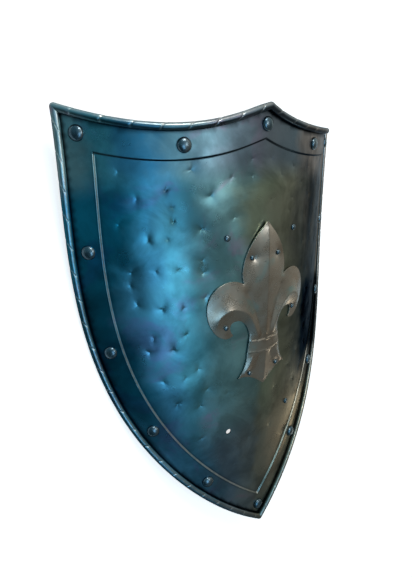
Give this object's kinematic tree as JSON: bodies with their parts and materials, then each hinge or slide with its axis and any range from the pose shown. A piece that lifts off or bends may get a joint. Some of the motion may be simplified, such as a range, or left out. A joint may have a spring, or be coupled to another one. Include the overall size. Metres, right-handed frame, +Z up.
{
  "type": "heater shield",
  "caption": "Steel heater shield bent about its long axis, with front-rolled edge, riveted flat border, hammered sunk field and applied embossed fleur-de-lis, lying face up.",
  "frame": {"origin": "on the floor under the middle of the lying shield's bounding box", "axes": "+Z up out of the shield's face, +Y along it from tip to peak, +X to the viewer's right"},
  "size_m": [0.4432, 0.5982, 0.1243],
  "materials": {
    "blued_plate": "blued and burnished, satin to glossy, hammered in the field",
    "burnished_fleur": "burnished, browner than the plate",
    "rivets": "dark polished domes with bright tops"
  },
  "bodies": {
    "root": {"shield_plate": "blued_plate", "fleur_de_lis": "burnished_fleur", "border_rivet_01": "rivets", "border_rivet_02": "rivets", "border_rivet_03": "rivets", "border_rivet_04": "rivets", "border_rivet_05": "rivets", "border_rivet_06": "rivets", "border_rivet_07": "rivets", "border_rivet_08": "rivets", "border_rivet_09": "rivets", "border_rivet_10": "rivets", "border_rivet_11": "rivets", "border_rivet_12": "rivets", "border_rivet_13": "rivets", "border_rivet_14": "rivets", "strap_rivet_upper_left": "rivets", "strap_rivet_upper_right": "rivets", "strap_rivet_lower_right": "rivets", "fleur_rivet_1": "rivets", "fleur_rivet_2": "rivets", "fleur_rivet_3": "rivets", "fleur_rivet_4": "rivets", "fleur_rivet_5": "rivets", "fleur_rivet_6": "rivets"}
  },
  "joints": []
}
